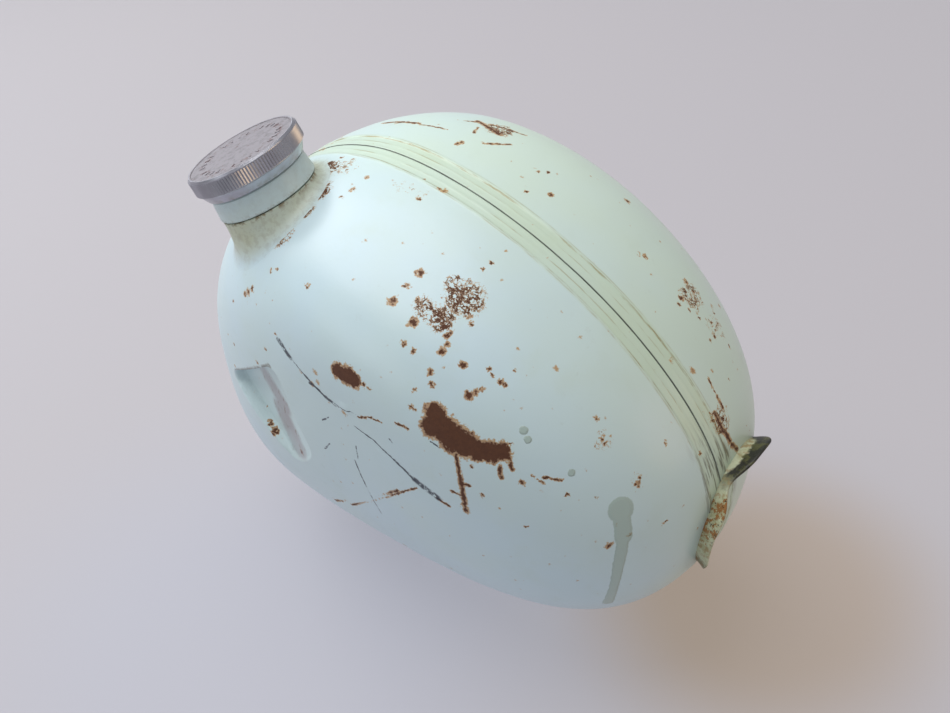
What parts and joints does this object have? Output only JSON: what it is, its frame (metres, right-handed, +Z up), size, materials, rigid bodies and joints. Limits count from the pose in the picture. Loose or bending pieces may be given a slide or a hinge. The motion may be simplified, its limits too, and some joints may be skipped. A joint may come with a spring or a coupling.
{
  "type": "steel liquid tank",
  "caption": "Egg-shaped pressed-steel liquid tank with a lap-welded seam, a leaning filler neck with a knurled screw cap, a saddle bracket and a bolt-down base channel.",
  "frame": {"origin": "middle of the base channel's four bolt holes, on the face that the rubber pads rest on", "axes": "+X to the rear saddle bracket, along the tank's length; +Z up; the seam lies in the XZ plane and the filler neck is on the -Y side"},
  "size_m": [0.2991, 0.187, 0.2546],
  "materials": {
    "shell_paint": "aged gloss enamel",
    "neck_paint": "aged gloss enamel",
    "cap_metal": "worn, knurled",
    "bare_steel": "dull",
    "brass_gauze": "woven gauze",
    "outlet_brass": "turned",
    "gasket_rubber": "matte",
    "bracket_paint": "dirty enamel with rust",
    "base_paint": "aged gloss enamel",
    "pad_rubber": "matte"
  },
  "bodies": {
    "tank": {"near_shell": "shell_paint", "far_shell": "shell_paint", "neck_collar": "shell_paint", "filler_neck": "neck_paint", "neck_thread": "bare_steel", "strainer_rim": "bare_steel", "strainer_basket": "brass_gauze", "rear_bracket": "bracket_paint", "base_channel": "base_paint", "base_pads": "pad_rubber", "outlet_boss": "outlet_brass", "outlet_gauze": "brass_gauze"},
    "cap_insert": {"cap_gasket": "gasket_rubber"},
    "cap": {"cap_shell": "cap_metal", "cap_thread": "cap_metal", "cap_baffle": "bare_steel", "cap_rivet": "bare_steel"}
  },
  "joints": [
    {"name": "cap_rise", "type": "slide", "parent": "tank", "child": "cap_insert", "axis": [-0.4009, -0.1148, 0.9089], "range_m": [0, 0.0101]},
    {"name": "cap_turn", "type": "hinge", "parent": "cap_insert", "child": "cap", "pos_m": [-0.08008, -0.04783, 0.23461], "axis": [-0.4009, -0.1148, 0.9089], "range_deg": [0, 900]}
  ],
  "couplings": [
    {"joint": "cap_rise", "follows": "cap_turn", "m_per_rad": 0.00063662}
  ]
}
